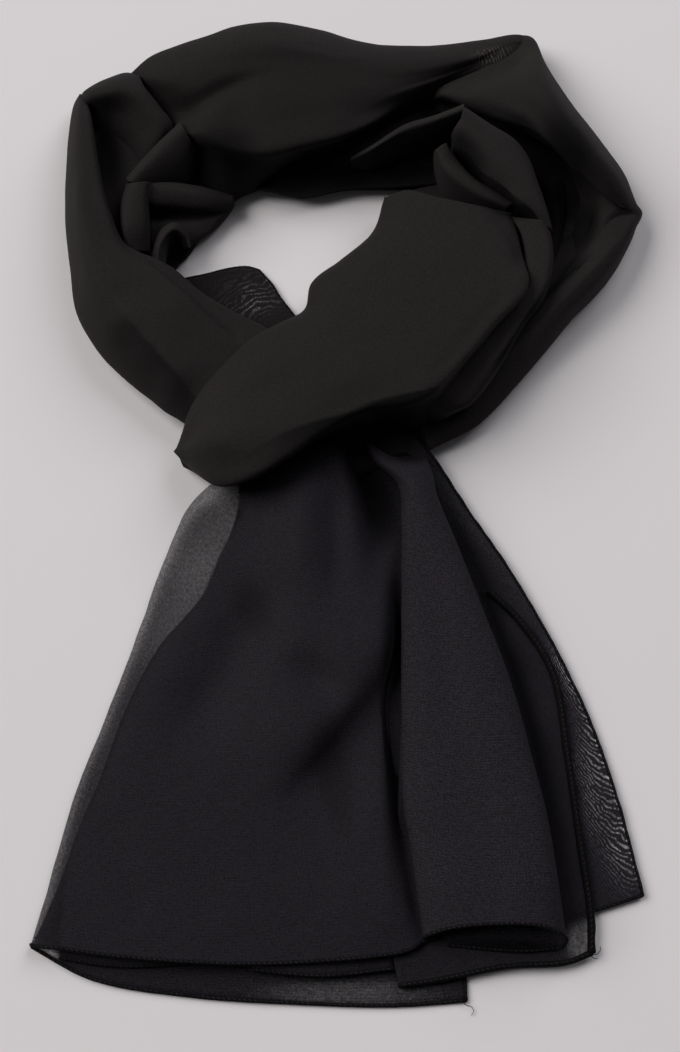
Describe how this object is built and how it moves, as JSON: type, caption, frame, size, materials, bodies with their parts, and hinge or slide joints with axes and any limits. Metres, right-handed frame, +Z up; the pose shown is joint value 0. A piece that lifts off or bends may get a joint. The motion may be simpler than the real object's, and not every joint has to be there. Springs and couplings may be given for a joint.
{
  "type": "chiffon scarf",
  "caption": "Plain black chiffon scarf folded in half and tied as a pull-through slip knot, laid flat with its tails fanned out.",
  "frame": {"origin": "centre of the underside of the whole scarf's bounding box", "axes": "+X to the right of the scarf as it lies, +Y from the tails' hems towards the neck ring, +Z up"},
  "size_m": [0.2936, 0.5042, 0.0441],
  "materials": {
    "chiffon": "fine plain-weave chiffon, matt with a faint sheen, see-through where single"
  },
  "bodies": {
    "root": {"apex_fold": "chiffon", "apex_wing": "chiffon", "hollow_fold_inner": "chiffon", "hollow_fold_outer": "chiffon", "inner_folds": "chiffon", "loop_fold": "chiffon", "neck_flap": "chiffon", "over_band": "chiffon", "over_strip": "chiffon", "ring_back": "chiffon", "ring_bed": "chiffon", "ring_cuff": "chiffon", "ring_inner": "chiffon", "ring_left": "chiffon", "ring_right": "chiffon", "ring_shoulder": "chiffon", "slot_fold": "chiffon", "tail_back": "chiffon", "tail_front": "chiffon", "tail_mid": "chiffon", "tail_pleat": "chiffon", "tail_pleat_under": "chiffon", "tail_under": "chiffon"}
  },
  "joints": []
}
